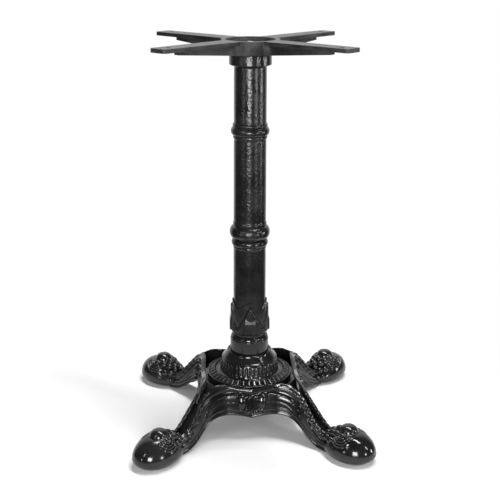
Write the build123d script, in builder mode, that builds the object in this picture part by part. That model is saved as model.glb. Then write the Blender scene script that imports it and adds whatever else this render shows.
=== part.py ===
from build123d import *
import os
from math import atan2, cos, degrees, radians, sin, tan

# A four-legged pedestal base for a table, in the Victorian manner: one low casting of hub, legs and
# lion paws, a loose neck collar, a turned column and a four-armed spider, clamped by one tie rod.
# Millimetres, +Z up, origin on the floor under the column, one apron towards -Y.

# Overall
overall_height = 720.0
leg_count = 4
first_leg_angle = 45.0
paw_reach = 244.0

# Tie rod, nuts and washers
rod_radius = 6.0
rod_hole_clearance = 1.0
rod_projection = 1.6
rod_end_chamfer = 1.0
nut_height = 10.0
nut_across_flats = 18.0
nut_thread_clearance = 0.1
washer_width = 30.0
washer_thickness = 2.5
washer_clearance = 0.5

# Spider
spider_depth = 25.0
spider_plate = 7.0
arm_reach = 222.0
arm_root_width = 42.0
arm_tip_width = 35.0
arm_tip_round = 6.0
spider_disc_radius = 52.0
bowl_radius = 44.0
well_radius = 44.5
well_floor_radius = 36.5
well_floor = 7.0
rib_width = 12.0
rib_stop = 44.0
rib_end_depth = 13.5
rib_root_fillet = 14.0
screw_hole_radius = 4.0
screw_hole_inset = 25.0
spigot_depth = 5.0
spigot_clearance = 0.3
spigot_sides = 8

# Column
column_bore_radius = 22.0
shaft_foot_radius = 28.7
shaft_middle_radius = 28.1
shaft_head_radius = 27.4
head_radius = 36.0
head_height = 18.0
head_chamfer = 3.5
upper_ring_above_foot = 386.0
upper_ring_proud = 5.6
upper_ring_height = 13.0
middle_ring_above_foot = 200.0
middle_ring_proud = 7.0
middle_ring_height = 22.0
middle_bead_drop = 19.5
middle_bead_proud = 3.6
middle_bead_height = 11.0
ring_crest = 0.36
bead_crest = 0.3

# Shields round the foot of the column
shield_count = 4
shield_base = 10.0
shield_rise = 66.0
shield_shoulder_rise = 44.0
shield_brow_rise = 58.0
shield_brow_half_width = 14.5
shield_proud = 2.4
gable_rise = 54.0
gable_sill = 5.0
gable_half_width = 23.5
gable_radius = 35.4
key_width = 17.0
key_rise = 28.0
key_bevel = 9.0
key_proud = 2.2
foot_chamfer = 6.5

# Neck collar
collar_radius = 36.0
collar_height = 35.0
collar_bevel = 4.0
collar_clearance = 0.4

# Hub of the base casting
seat_height = 139.0
seat_plate = 10.0
rim_width = 8.0
rim_rise = 4.0
rim_crest = 4.0
bell_wall = 7.0
drum_head_height = 127.0
drum_head_radius = 50.0
drum_foot_radius = 55.5
ring_outer_radius = 80.0
ledge_height = 94.0
ledge_width = 3.0
band_rise = 7.0
flute_count = 40
core_width = 53.0

# Legs and aprons: the plan is drawn at floor level and drafted inwards on its way up
draft_angle = 12.0
apron_distance = 109.0
apron_half_length = 43.5
bend_reach = 126.0
bend_half_width = 33.5
knee_reach = 150.0
knee_half_width = 26.0
ankle_setback = 38.0
ankle_half_width = 18.5
leg_wall = 5.5
web_thickness = 6.0
web_height = 88.0
ridge_cusp_height = 96.0
ridge_peak_reach = 100.0
ridge_peak_height = 105.0
ridge_fall_reach = 130.0
ridge_fall_height = 93.0
ridge_ankle_setback = 24.0
ridge_ankle_height = 36.0
ridge_over_web = 24.0
scallop_count = 6
scallop_rise = 2.4
scallop_crest = 0.6
pendant_height = 43.0
arch_crown_reach = 96.0
arch_crown_height = 52.0
arch_spring_reach = 146.0
arch_spring_height = 33.0
heel_setback = 8.0
heel_height = 1.5
relief = 2.0
leaf_reach = 82.0
leaf_top_height = 90.0
leaf_foot_height = 71.0
leaf_bend_reach = 115.0
leaf_bend_top = 83.0
leaf_bend_width = 17.0
leaf_tip_reach = 138.0
leaf_tip_height = 56.0
leaf_tip_width = 4.0

# Ornament in the middle of each apron
bar_width = 9.0
bar_height = 34.0
bar_drop = 8.0
bar_proud = 3.5
egg_offset = 19.0
egg_height = 75.0
egg_half_height = 13.5
egg_half_width = 8.0
egg_flat = 6.0
egg_proud = 3.5
egg_taper = 40.0

# Paws
paw_half_length = 48.5
paw_half_width = 38.0
paw_pad_height = 45.0
paw_sides = 18
paw_sole_inset = 10.0
paw_belly_height = 15.0
paw_cheek_height = 28.0
paw_cheek_inset = 3.0
paw_brow_height = 38.0
paw_brow_inset = 10.5
paw_crown_inset = 24.0
paw_core_length = 46.0
paw_core_width = 28.0
paw_core_depth = 28.0
paw_wall = 6.0
knuckle_setback = 6.0
knuckle_sides = 12
knuckle_collar = 21.0
knuckle_radius = 15.0
knuckle_foot_height = 42.0
knuckle_neck_height = 49.0
knuckle_brow = 10.0
knuckle_brow_height = 58.0
knuckle_crown = 4.0
knuckle_top = 62.0

# Reaches that follow from the paws
ankle_reach = paw_reach - ankle_setback
heel_reach = ankle_reach - heel_setback
ridge_ankle_reach = ankle_reach - ridge_ankle_setback
knuckle_reach = paw_reach - knuckle_setback

# Heights that follow from the stack
column_foot = seat_height + collar_height
column_head = overall_height - spider_depth
well_floor_height = column_head + well_floor
rod_hole_radius = rod_radius + rod_hole_clearance
seat_underside = seat_height - seat_plate
rod_top = well_floor_height + washer_thickness + nut_height + rod_projection
rod_bottom = seat_underside - washer_thickness - nut_height - rod_projection
spigot_radius = column_bore_radius - spigot_clearance


def turned(points, mode=Mode.ADD):
    """Turn a closed outline of radius and height points round the Z axis."""
    with BuildSketch(Plane.XZ) as outline:
        with BuildLine():
            Polyline(*points, close=True)
        make_face()
    revolve(outline.sketch, axis=Axis.Z, mode=mode)


def disc(floor, height, radius, mode=Mode.ADD):
    """Add or cut a disc on the given height."""
    with BuildSketch(Plane.XY.offset(floor)) as outline:
        Circle(radius)
    extrude(outline.sketch, amount=height, mode=mode)


def hexagon_nut(floor):
    """Add a plain hexagon nut standing on the given height."""
    with BuildSketch(Plane.XY.offset(floor)) as outline:
        RegularPolygon(nut_across_flats / 2, 6, major_radius=False)
        Circle(rod_radius + nut_thread_clearance, mode=Mode.SUBTRACT)
    extrude(outline.sketch, amount=nut_height)


def spigot(floor):
    """Add the many-sided boss that centres an end of the column, standing on the given height."""
    with BuildSketch(Plane.XY.offset(floor)) as outline:
        RegularPolygon(spigot_radius, spigot_sides)
    extrude(outline.sketch, amount=spigot_depth)


def plate_washer(floor):
    """Add a square plate washer lying on the given height."""
    with BuildSketch(Plane.XY.offset(floor)) as outline:
        Rectangle(washer_width, washer_width)
        Circle(rod_radius + washer_clearance, mode=Mode.SUBTRACT)
    extrude(outline.sketch, amount=washer_thickness)


# Tie rod with its nuts and washers
with BuildPart() as tie_rod:
    disc(rod_bottom, rod_top - rod_bottom, rod_radius)
    chamfer(tie_rod.edges().filter_by(GeomType.CIRCLE), rod_end_chamfer)

with BuildPart() as upper_washer:
    plate_washer(well_floor_height)

with BuildPart() as upper_nut:
    hexagon_nut(well_floor_height + washer_thickness)

with BuildPart() as lower_washer:
    plate_washer(seat_underside - washer_thickness)

with BuildPart() as lower_nut:
    hexagon_nut(seat_underside - washer_thickness - nut_height)


# Spider: plate with tapered arms, a bowl under its centre and a rib under each arm
rib_end = arm_reach - rib_stop
plate_underside = overall_height - spider_plate

with BuildSketch() as arm_plan:
    with BuildLine():
        arm_sides = FilletPolyline(
            (0, -arm_root_width / 2),
            (arm_reach, -arm_tip_width / 2),
            (arm_reach, arm_tip_width / 2),
            (0, arm_root_width / 2),
            radius=arm_tip_round,
        )
        Line(arm_sides @ 1, arm_sides @ 0)
    make_face()

with BuildSketch() as rib_plan:
    Rectangle(rib_end, rib_width, align=(Align.MIN, Align.CENTER))

# cut away under each rib, which grows shallower towards the tip of the arm
with BuildPart() as rib_wedge:
    with BuildSketch(Plane.XZ):
        with BuildLine():
            Polyline(
                (bowl_radius, column_head),
                (arm_reach, column_head),
                (arm_reach, overall_height - rib_end_depth),
                (rib_end, overall_height - rib_end_depth),
                close=True,
            )
        make_face()
    extrude(amount=rib_width / 2 + rib_root_fillet, both=True)

with BuildPart() as spider:
    with BuildSketch(Plane.XY.offset(plate_underside)):
        Circle(spider_disc_radius)
        with PolarLocations(0, leg_count, first_leg_angle):
            add(arm_plan.sketch)
    extrude(amount=spider_plate)
    with BuildSketch(Plane.XY.offset(column_head)) as bowl_plan:
        Circle(bowl_radius)
        with PolarLocations(0, leg_count, first_leg_angle):
            add(rib_plan.sketch)
        root_limit = (bowl_radius + rib_end) / 2
        root_corners = [v for v in bowl_plan.vertices() if Vector(v).length < root_limit]
        fillet(root_corners, rib_root_fillet)
    extrude(amount=spider_depth - spider_plate)
    with PolarLocations(0, leg_count, first_leg_angle):
        add(rib_wedge.part, mode=Mode.SUBTRACT)
    turned(
        [
            (0, well_floor_height),
            (well_floor_radius, well_floor_height),
            (well_radius, overall_height),
            (0, overall_height),
        ],
        Mode.SUBTRACT,
    )
    spigot(column_head - spigot_depth)
    disc(column_head - spigot_depth, spigot_depth + well_floor, rod_hole_radius, mode=Mode.SUBTRACT)
    with BuildSketch(Plane.XY.offset(plate_underside)):
        with PolarLocations(arm_reach - screw_hole_inset, leg_count, first_leg_angle):
            Circle(screw_hole_radius)
    extrude(amount=spider_plate, mode=Mode.SUBTRACT)


# Shields: three layers of relief round the foot of the column, each cut out of a turned sleeve
shield_foot = column_foot + shield_base
shield_half_width = (shaft_foot_radius + shield_proud) * sin(radians(180.0 / shield_count))
key_radius = gable_radius + key_proud


def facing_out(outline):
    """Stand an outline upright in front of the column, once for each shield, as prisms from the axis."""
    with BuildPart() as prism:
        with BuildSketch(Plane.XZ):
            add(outline)
        extrude(amount=head_radius + key_radius)
    with BuildPart() as ring:
        with PolarLocations(0, shield_count):
            add(prism.part)
    return ring.part


with BuildSketch() as arch_outline:
    with BuildLine():
        Polyline(
            (0, shield_foot),
            (shield_half_width, shield_foot),
            (shield_half_width, shield_foot + shield_shoulder_rise),
            (shield_brow_half_width, shield_foot + shield_brow_rise),
            (0, shield_foot + shield_rise),
            close=True,
        )
    make_face()
    mirror(about=Plane.YZ)

with BuildSketch() as gable_outline:
    with BuildLine():
        Polyline(
            (-gable_half_width, shield_foot),
            (gable_half_width, shield_foot),
            (gable_half_width, shield_foot + gable_sill),
            (0, shield_foot + gable_rise),
            (-gable_half_width, shield_foot + gable_sill),
            close=True,
        )
    make_face()

with BuildSketch() as key_outline:
    with Locations((0, shield_foot + key_rise / 2)):
        Rectangle(key_width, key_rise)

with BuildPart() as arches:
    disc(shield_foot, shield_rise, shaft_foot_radius + shield_proud)
    add(facing_out(arch_outline.sketch), mode=Mode.INTERSECT)

with BuildPart() as gables:
    disc(shield_foot, gable_rise, gable_radius)
    add(facing_out(gable_outline.sketch), mode=Mode.INTERSECT)

with BuildPart() as keys:
    turned(
        [
            (0, shield_foot),
            (key_radius, shield_foot),
            (key_radius, shield_foot + key_rise - key_bevel),
            (gable_radius, shield_foot + key_rise),
            (0, shield_foot + key_rise),
        ]
    )
    add(facing_out(key_outline.sketch), mode=Mode.INTERSECT)


# Column: a tube in three lengths, each thinner than the one below, which meet inside the rings
def ring_profile(middle, rise, proud, crest, below, above):
    """Outline of a bevelled ring at a height above the foot, from the shaft below to the shaft above."""
    height = column_foot + middle
    crown = max(below, above) + proud
    return [
        (below, height - rise / 2),
        (crown, height - rise * crest),
        (crown, height + rise * crest),
        (above, height + rise / 2),
    ]


with BuildPart() as column:
    turned(
        [(column_bore_radius, column_foot), (shaft_foot_radius, column_foot)]
        + ring_profile(
            middle_ring_above_foot - middle_bead_drop,
            middle_bead_height,
            middle_bead_proud,
            bead_crest,
            shaft_foot_radius,
            shaft_foot_radius,
        )
        + ring_profile(
            middle_ring_above_foot,
            middle_ring_height,
            middle_ring_proud,
            ring_crest,
            shaft_foot_radius,
            shaft_middle_radius,
        )
        + ring_profile(
            upper_ring_above_foot,
            upper_ring_height,
            upper_ring_proud,
            ring_crest,
            shaft_middle_radius,
            shaft_head_radius,
        )
        + [
            (shaft_head_radius, column_head - head_height - head_chamfer),
            (head_radius, column_head - head_height),
            (head_radius, column_head),
            (column_bore_radius, column_head),
        ]
    )
    add([arches.part, gables.part, keys.part])
    turned(
        [
            (column_bore_radius, shield_foot - foot_chamfer),
            (shaft_foot_radius + shield_proud, shield_foot - foot_chamfer),
            (gable_radius, shield_foot),
            (column_bore_radius, shield_foot),
        ]
    )
    disc(column_foot, column_head - column_foot, column_bore_radius, mode=Mode.SUBTRACT)


# Neck collar: stands in the socket of the hub and centres the column on its spigot
with BuildPart() as neck_collar:
    turned(
        [
            (0, seat_height),
            (collar_radius, seat_height),
            (collar_radius, column_foot - collar_bevel),
            (collar_radius - collar_bevel, column_foot),
            (0, column_foot),
        ]
    )
    spigot(column_foot)
    disc(seat_height, collar_height + spigot_depth, rod_hole_radius, mode=Mode.SUBTRACT)


# Legs and aprons, drawn for one leg along +X and clipped to its sector
half_sector = 180.0 / leg_count
draft = tan(radians(draft_angle))
outward = Vector(cos(radians(half_sector)), sin(radians(half_sector)))
along = Vector(sin(radians(half_sector)), -cos(radians(half_sector)))
apron_middle = outward * apron_distance
apron_end = apron_middle + along * apron_half_length
apron_overrun = apron_middle - along * apron_half_length
prism_height = ridge_peak_height + scallop_rise
sector_reach = paw_reach * 2


def cusp(height):
    """Point of the side view where the two halves of an apron meet, at a height."""
    return (apron_distance - draft * height) * cos(radians(half_sector)), height


def drafted(inset, mode=Mode.ADD):
    """Raise the plan of a leg, shrunk by an inset all round, with the draft of the casting."""
    with BuildSketch() as outline:
        add(leg_plan.sketch)
        offset(amount=-inset, kind=Kind.INTERSECTION, mode=Mode.REPLACE)
    extrude(outline.sketch, amount=prism_height, taper=draft_angle, mode=mode)


with BuildSketch() as leg_plan:
    with BuildLine():
        Polyline(
            apron_end,
            apron_overrun,
            (0, apron_overrun.Y),
            (0, 0),
            (ankle_reach, 0),
            (ankle_reach, ankle_half_width),
            (knee_reach, knee_half_width),
            (bend_reach, bend_half_width),
            close=True,
        )
    make_face()
    mirror(about=Plane.XZ)

with BuildSketch() as sector_plan:
    with BuildLine():
        Polyline((0, 0), outward * sector_reach, (sector_reach, 0), close=True)
    make_face()
    mirror(about=Plane.XZ)

# side view of the walls: a ridge with leafy steps over an arch that springs from the heel
with BuildSketch(Plane.XZ) as leg_side:
    with BuildLine():
        fall = Vector(ridge_fall_reach, ridge_fall_height)
        ankle = Vector(ridge_ankle_reach, ridge_ankle_height)
        step = (ankle - fall) / scallop_count
        swell = Vector(-step.Y, step.X).normalized() * scallop_rise
        peak = (ridge_peak_reach, ridge_peak_height)
        ridge = [(0, ridge_cusp_height), cusp(ridge_cusp_height), peak, fall]
        for i in range(scallop_count):
            ridge += [fall + step * (i + scallop_crest) + swell, fall + step * (i + 1)]
        arch_foot = TangentArc(
            (arch_crown_reach, arch_crown_height), (arch_spring_reach, arch_spring_height), tangent=(1, 0)
        )
        heel_sweep = TangentArc(arch_foot @ 1, (heel_reach, heel_height), tangent=arch_foot % 1)
        pendant = TangentArc(arch_foot @ 0, cusp(pendant_height), tangent=(-1, 0))
        Polyline(*ridge, (ankle_reach, ridge_ankle_height), (ankle_reach, heel_height), heel_sweep @ 1)
        Polyline(pendant @ 1, (0, pendant_height), (0, ridge_cusp_height))
    make_face()

# side view of the web between the walls, the floor of the channel along the top of the leg
with BuildSketch(Plane.XZ) as web_side:
    with BuildLine():
        web_line = [
            (0, web_height),
            (ring_outer_radius, web_height),
            (ridge_fall_reach, ridge_fall_height - ridge_over_web),
            (ankle_reach, ridge_ankle_height - ridge_over_web),
        ]
        web_underside = [(reach, height - web_thickness) for reach, height in reversed(web_line)]
        Polyline(*web_line, *web_underside, close=True)
    make_face()

# side view of the scrolled leaf that runs from the middle of the apron down the flank
with BuildSketch(Plane.XZ) as leaf_side:
    with BuildLine():
        Polyline(
            (leaf_reach, leaf_top_height),
            (leaf_bend_reach, leaf_bend_top),
            (leaf_tip_reach, leaf_tip_height),
            (leaf_tip_reach, leaf_tip_height - leaf_tip_width),
            (leaf_bend_reach, leaf_bend_top - leaf_bend_width),
            (leaf_reach, leaf_foot_height),
            close=True,
        )
    make_face()

with BuildPart() as leg_walls:
    drafted(0)
    drafted(leg_wall, Mode.SUBTRACT)
    extrude(leg_side.sketch, amount=sector_reach, both=True, mode=Mode.INTERSECT)

with BuildPart() as leg_web:
    drafted(leg_wall / 2)
    extrude(web_side.sketch, amount=sector_reach, both=True, mode=Mode.INTERSECT)

with BuildPart() as leg_leaves:
    drafted(-relief)
    drafted(leg_wall / 2, Mode.SUBTRACT)
    extrude(leaf_side.sketch, amount=sector_reach, both=True, mode=Mode.INTERSECT)

with BuildPart() as leg:
    add([leg_walls.part, leg_web.part, leg_leaves.part])
    extrude(sector_plan.sketch, amount=prism_height, mode=Mode.INTERSECT)


# Paw under the end of each leg: a bulging pad cored from below, with a knuckle on top
def ring_plan(half_length, half_width, sides):
    """Many-sided outline round the origin, inside an ellipse."""
    turn = 360.0 / sides
    with BuildSketch() as outline:
        with BuildLine():
            turns = [radians(turn * i) for i in range(sides)]
            Polyline(*[(half_length * cos(a), half_width * sin(a)) for a in turns], close=True)
        make_face()
    return outline.sketch


def banded(plan, reach, levels):
    """Raise a plan at a reach through levels of height and inset, each band drafted into the next."""
    for (floor, inset), (top, next_inset) in zip(levels, levels[1:]):
        with BuildSketch(Plane((reach, 0, floor))) as outline:
            add(plan)
            if inset:
                offset(amount=-inset, kind=Kind.INTERSECTION, mode=Mode.REPLACE)
        taper = degrees(atan2(next_inset - inset, top - floor))
        extrude(outline.sketch, amount=top - floor, taper=taper)


pad_plan = ring_plan(paw_half_length, paw_half_width, paw_sides)

# the sole draws in downwards, so it is raised upside down and turned over
with BuildPart() as sole:
    banded(pad_plan, paw_reach, [(0, 0), (paw_belly_height, paw_sole_inset)])
    mirror(about=Plane.XY.offset(paw_belly_height / 2), mode=Mode.REPLACE)

with BuildPart() as paw:
    add(sole.part)
    banded(
        pad_plan,
        paw_reach,
        [
            (paw_belly_height, 0),
            (paw_cheek_height, paw_cheek_inset),
            (paw_brow_height, paw_brow_inset),
            (paw_pad_height, paw_crown_inset),
        ],
    )
    banded(
        ring_plan(knuckle_collar, knuckle_collar, knuckle_sides),
        knuckle_reach,
        [
            (paw_core_depth + paw_wall, 0),
            (knuckle_foot_height, 0),
            (knuckle_neck_height, knuckle_collar - knuckle_radius),
            (knuckle_brow_height, knuckle_collar - knuckle_brow),
            (knuckle_top, knuckle_collar - knuckle_crown),
        ],
    )
    with BuildSketch():
        with Locations((paw_reach, 0)):
            Rectangle(paw_core_length, paw_core_width)
    extrude(amount=paw_core_depth, mode=Mode.SUBTRACT)


# Hub: a bell with socket rim, many-sided drum and a broad band on a ring, hollow from below. Inside
# the drum the hollow is square
socket_radius = collar_radius + collar_clearance
rim_radius = socket_radius + rim_width
band_radius = ring_outer_radius - ledge_width
core_floor = ledge_height - bell_wall
ring_floor = web_height - web_thickness

with BuildPart() as base_hub:
    disc(ring_floor, ledge_height - ring_floor, ring_outer_radius)
    fluted = ring_plan(band_radius, band_radius, flute_count)
    banded(fluted, 0, [(ledge_height, 0), (ledge_height + band_rise, 0)])
    banded(
        fluted,
        0,
        [
            (ledge_height, band_radius - drum_foot_radius),
            (drum_head_height, band_radius - drum_head_radius),
            (seat_height, band_radius - rim_radius),
            (seat_height + rim_rise, band_radius - socket_radius - rim_crest),
        ],
    )
    disc(seat_height, rim_rise, socket_radius, mode=Mode.SUBTRACT)
    disc(ring_floor, core_floor - ring_floor, ring_outer_radius - bell_wall, mode=Mode.SUBTRACT)
    with BuildSketch(Plane.XY.offset(core_floor)):
        Rectangle(core_width, core_width)
    extrude(amount=seat_underside - core_floor, mode=Mode.SUBTRACT)
    disc(seat_underside, seat_plate, rod_hole_radius, mode=Mode.SUBTRACT)


# Ornament in the middle of an apron: an upright bar between two eggs, drawn on the apron along +X
def apron_face(height):
    """Distance from the axis to the face of an apron at a height."""
    return apron_distance - draft * height


with BuildSketch() as egg_outline:
    with BuildLine():
        Polyline(
            (egg_half_width / 2, -egg_half_height),
            (-egg_half_width / 2, -egg_half_height),
            (-egg_half_width, -egg_flat),
            (-egg_half_width, egg_flat),
            (-egg_half_width / 2, egg_half_height),
            (egg_half_width / 2, egg_half_height),
            (egg_half_width, egg_flat),
            (egg_half_width, -egg_flat),
            close=True,
        )
    make_face()

with BuildPart() as ornament:
    apron_plane = Plane(
        origin=(apron_face(egg_height), 0, egg_height),
        x_dir=(0, 1, 0),
        z_dir=(cos(radians(draft_angle)), 0, sin(radians(draft_angle))),
    )
    with BuildSketch(apron_plane.offset(-relief)):
        with Locations((0, -bar_drop)):
            Rectangle(bar_width, bar_height)
    extrude(amount=relief + bar_proud)
    with BuildSketch(apron_plane):
        with Locations((egg_offset, 0), (-egg_offset, 0)):
            add(egg_outline.sketch)
    extrude(amount=egg_proud, taper=egg_taper)


# Legs, aprons and paws end at the ring of the hub
with BuildPart() as base_casting:
    with PolarLocations(0, leg_count, first_leg_angle):
        add(leg.part)
    with PolarLocations(0, leg_count, first_leg_angle + half_sector):
        add(ornament.part)
    disc(0, prism_height, ring_outer_radius, mode=Mode.SUBTRACT)
    with PolarLocations(0, leg_count, first_leg_angle):
        add(paw.part)


os.makedirs("parts", exist_ok=True)
for builder, label in [
    (base_casting, "base_casting"),
    (base_hub, "base_hub"),
    (neck_collar, "neck_collar"),
    (column, "column"),
    (spider, "spider"),
    (tie_rod, "tie_rod"),
    (upper_nut, "upper_nut"),
    (upper_washer, "upper_washer"),
    (lower_nut, "lower_nut"),
    (lower_washer, "lower_washer"),
]:
    builder.part.label = label
    export_step(builder.part, f"parts/{label}.step")
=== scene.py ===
"""Studio scene of a cast iron pedestal table base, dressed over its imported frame.

Every piece is worked out in millimetres in the frame of the solids: +Z up, the floor at zero, legs and
spider arms on the diagonals, one apron towards -Y.
"""

import logging
from dataclasses import dataclass, field
from enum import Enum
from math import cos, pi, radians, sin

import bmesh
import bpy
import numpy as np
from mathutils import Matrix, Vector


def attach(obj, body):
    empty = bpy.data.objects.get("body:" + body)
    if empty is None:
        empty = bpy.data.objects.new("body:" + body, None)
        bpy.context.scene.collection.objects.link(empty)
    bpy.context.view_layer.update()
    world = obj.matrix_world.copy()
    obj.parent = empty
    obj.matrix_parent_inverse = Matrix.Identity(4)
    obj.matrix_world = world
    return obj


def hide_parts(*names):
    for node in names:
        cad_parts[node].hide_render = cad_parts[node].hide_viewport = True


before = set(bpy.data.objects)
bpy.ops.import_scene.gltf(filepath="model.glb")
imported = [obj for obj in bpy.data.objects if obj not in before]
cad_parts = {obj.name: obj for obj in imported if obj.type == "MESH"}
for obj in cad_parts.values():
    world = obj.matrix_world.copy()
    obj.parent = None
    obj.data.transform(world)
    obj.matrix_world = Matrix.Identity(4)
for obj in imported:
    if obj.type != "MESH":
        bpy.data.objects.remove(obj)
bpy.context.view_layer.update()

log = logging.getLogger("table_base")

MM = 0.001
DIAGONAL = 0.5**0.5
LEG_ANGLES = (45.0, 135.0, 225.0, 315.0)


class Slot(Enum):
    """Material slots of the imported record."""

    BASE = "base_enamel"
    COLUMN = "column_enamel"
    SPIDER = "spider_enamel"
    STEEL = "zinc_steel"


def smoothstep(value: np.ndarray, low: float, high: float) -> np.ndarray:
    """Smooth ramp from 0 at low to 1 at high, by the cubic 3t^2 - 2t^3.

    Args:
        value: Values to ramp.
        low: Value where the ramp starts.
        high: Value where the ramp ends.

    Returns:
        The ramp, of the same shape as value.
    """
    t = np.clip((value - low) / (high - low), 0.0, 1.0)
    return t * t * (3.0 - 2.0 * t)


def dome(value: np.ndarray, middle: float, half: float) -> np.ndarray:
    """Half ellipse of height 1 over middle - half to middle + half, and 0 elsewhere."""
    return np.sqrt(np.clip(1.0 - ((value - middle) / half) ** 2, 0.0, 1.0))


def hermite(value: np.ndarray, knots: np.ndarray, heights: np.ndarray, slopes: np.ndarray) -> np.ndarray:
    """Cubic Hermite curve through knots with given slopes, straight on beyond its ends.

    Args:
        value: Places to read the curve at.
        knots: Rising places of the knots.
        heights: Height at each knot.
        slopes: Slope at each knot.

    Returns:
        Height of the curve at each place.
    """
    inside = np.clip(value, knots[0], knots[-1])
    i = np.clip(np.searchsorted(knots, inside) - 1, 0, len(knots) - 2)
    span = knots[i + 1] - knots[i]
    t = (inside - knots[i]) / span
    curve = (
        (2 * t**3 - 3 * t**2 + 1) * heights[i]
        + (t**3 - 2 * t**2 + t) * span * slopes[i]
        + (3 * t**2 - 2 * t**3) * heights[i + 1]
        + (t**3 - t**2) * span * slopes[i + 1]
    )
    beyond = np.where(value < knots[0], slopes[0], slopes[-1]) * (value - inside)
    return curve + beyond


def spread(stops: list[float], counts: list[int]) -> np.ndarray:
    """Rising samples through stops, with the given count of equal steps between neighbours."""
    runs = [np.linspace(a, b, n, endpoint=False) for a, b, n in zip(stops, stops[1:], counts)]
    return np.concatenate([*runs, [stops[-1]]])


def swung(points: np.ndarray, angle: float) -> np.ndarray:
    """Points turned about +Z by an angle in degrees."""
    c, s = cos(radians(angle)), sin(radians(angle))
    return points @ np.array([[c, s, 0.0], [-s, c, 0.0], [0.0, 0.0, 1.0]])


def grid_faces(rows: int, cols: int, wrap_rows: bool, wrap_cols: bool) -> np.ndarray:
    """Quads between neighbouring points of a grid that is numbered row by row.

    Args:
        rows: Count of rows.
        cols: Count of points in a row.
        wrap_rows: Whether the last row joins the first.
        wrap_cols: Whether the last point of a row joins its first.

    Returns:
        Indices, four to a face.
    """
    r = np.arange(rows if wrap_rows else rows - 1)[:, None]
    c = np.arange(cols if wrap_cols else cols - 1)[None, :]
    r2, c2 = (r + 1) % rows, (c + 1) % cols
    corners = [r * cols + c, r * cols + c2, r2 * cols + c2, r2 * cols + c]
    return np.stack(corners, axis=-1).reshape(-1, 4)


def make_piece(
    name: str, shells: np.ndarray, wrap_rows: bool = False, wrap_cols: bool = True, sharp: float = 40.0
) -> bpy.types.Object:
    """Turn grids of points into one closed piece that rides on the frame.

    Rows that don't wrap round are closed by a cap at each end, doubled points at poles and seams are
    merged, and faces are turned outwards.

    Args:
        name: Name of the piece.
        shells: Points in millimetres, of shape (shells, rows, cols, 3) or (rows, cols, 3).
        wrap_rows: Whether the last row joins the first.
        wrap_cols: Whether the last point of a row joins its first.
        sharp: Angle in degrees past which an edge is shaded sharp.

    Returns:
        The linked object.
    """
    grids = shells if shells.ndim == 4 else shells[None]
    count, rows, cols, _ = grids.shape
    quads = grid_faces(rows, cols, wrap_rows, wrap_cols)
    offsets = np.arange(count)[:, None, None] * rows * cols
    faces = (quads[None] + offsets).reshape(-1, 4).tolist()
    if not wrap_rows:
        first = np.arange(cols)[None, :] + offsets[:, 0]
        faces += first.tolist() + (first + (rows - 1) * cols).tolist()
    mesh = bpy.data.meshes.new(name)
    mesh.from_pydata((grids.reshape(-1, 3) * MM).tolist(), [], faces)
    shape = bmesh.new()
    shape.from_mesh(mesh)
    bmesh.ops.remove_doubles(shape, verts=shape.verts, dist=2e-6)
    bmesh.ops.recalc_face_normals(shape, faces=shape.faces)
    shape.to_mesh(mesh)
    shape.free()
    return link_piece(name, mesh, sharp)


def link_piece(name: str, mesh: bpy.types.Mesh, sharp: float) -> bpy.types.Object:
    """Shade a mesh smooth up to an angle, link it as an object and let it ride on the frame.

    Args:
        name: Name of the piece.
        mesh: Its finished mesh, in metres.
        sharp: Angle in degrees past which an edge is shaded sharp.

    Returns:
        The linked object.
    """
    mesh.polygons.foreach_set("use_smooth", np.ones(len(mesh.polygons), dtype=bool))
    mesh.set_sharp_from_angle(angle=radians(sharp))
    mesh.update()
    piece = bpy.data.objects.new(name, mesh)
    bpy.context.scene.collection.objects.link(piece)
    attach(piece, "root")
    log.info("%s: %d faces", name, len(mesh.polygons))
    return piece


def lathe(profile: np.ndarray, turns: int) -> np.ndarray:
    """Grid of a profile of radius and height carried round the Z axis.

    Args:
        profile: Points of radius and height, of shape (rows, 2).
        turns: Count of points round the axis.

    Returns:
        Points of shape (rows, turns, 3).
    """
    angle = np.linspace(0.0, 2.0 * pi, turns, endpoint=False)[None, :]
    radius, height = profile[:, :1], profile[:, 1:]
    flat = np.ones_like(angle)
    return np.stack([radius * np.cos(angle), radius * np.sin(angle), height * flat], axis=-1)


def socket_group(name: str, inputs: dict[str, float], outputs: list[str]) -> bpy.types.ShaderNodeTree:
    """New shader node group with float inputs and float outputs.

    Args:
        name: Name of the group.
        inputs: Default value of each input by name.
        outputs: Names of the outputs.

    Returns:
        The group's node tree, with its input and output nodes.
    """
    tree = bpy.data.node_groups.new(name, "ShaderNodeTree")
    for label, default in inputs.items():
        socket = tree.interface.new_socket(label, in_out="INPUT", socket_type="NodeSocketFloat")
        socket.default_value = default
    for label in outputs:
        tree.interface.new_socket(label, in_out="OUTPUT", socket_type="NodeSocketFloat")
    tree.nodes.new("NodeGroupInput")
    tree.nodes.new("NodeGroupOutput")
    return tree


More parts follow.
